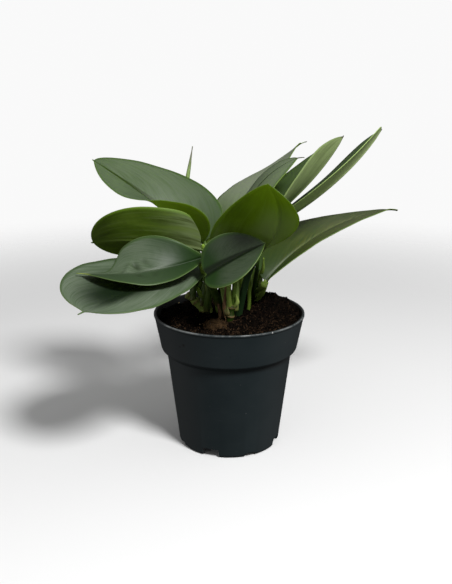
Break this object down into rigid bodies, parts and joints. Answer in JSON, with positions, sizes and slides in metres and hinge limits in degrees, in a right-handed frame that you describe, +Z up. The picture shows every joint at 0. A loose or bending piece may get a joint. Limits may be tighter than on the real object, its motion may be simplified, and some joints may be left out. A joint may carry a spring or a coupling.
{
  "type": "potted moonlight scindapsus",
  "caption": "Young climbing houseplant with silvery pointed leaves on short upright stems, in a round tapered plastic nursery pot filled with peat.",
  "frame": {"origin": "middle of the pot's base, on the surface that the pot stands on", "axes": "+Z up; the broad hanging leaves reach to -X, and the pictured side faces -Y"},
  "size_m": [0.2628, 0.1928, 0.2489],
  "materials": {
    "pot_plastic": "dark grey, satin, moulded",
    "peat": "dark damp peat with short fibres",
    "coir": "brown fuzzy coconut fibre",
    "stem_skin": "green, smooth, with brown scars",
    "silver_leaf": "silvery grey-green satin above, olive green below",
    "young_leaf": "pale yellow-green, smooth"
  },
  "bodies": {
    "root": {"pot": "pot_plastic", "soil": "peat", "coir_lump": "coir", "stem_middle": "stem_skin", "stem_left": "stem_skin", "stem_inner": "stem_skin", "stem_right": "stem_skin", "leaf_left_top": "silver_leaf", "leaf_left_back": "silver_leaf", "leaf_left_middle": "silver_leaf", "leaf_left_low": "silver_leaf", "leaf_front": "silver_leaf", "leaf_centre": "silver_leaf", "leaf_back_high": "silver_leaf", "leaf_back_low": "silver_leaf", "leaf_right_high": "silver_leaf", "leaf_right_far": "silver_leaf", "leaf_right_low": "silver_leaf", "leaf_new": "young_leaf"}
  },
  "joints": []
}
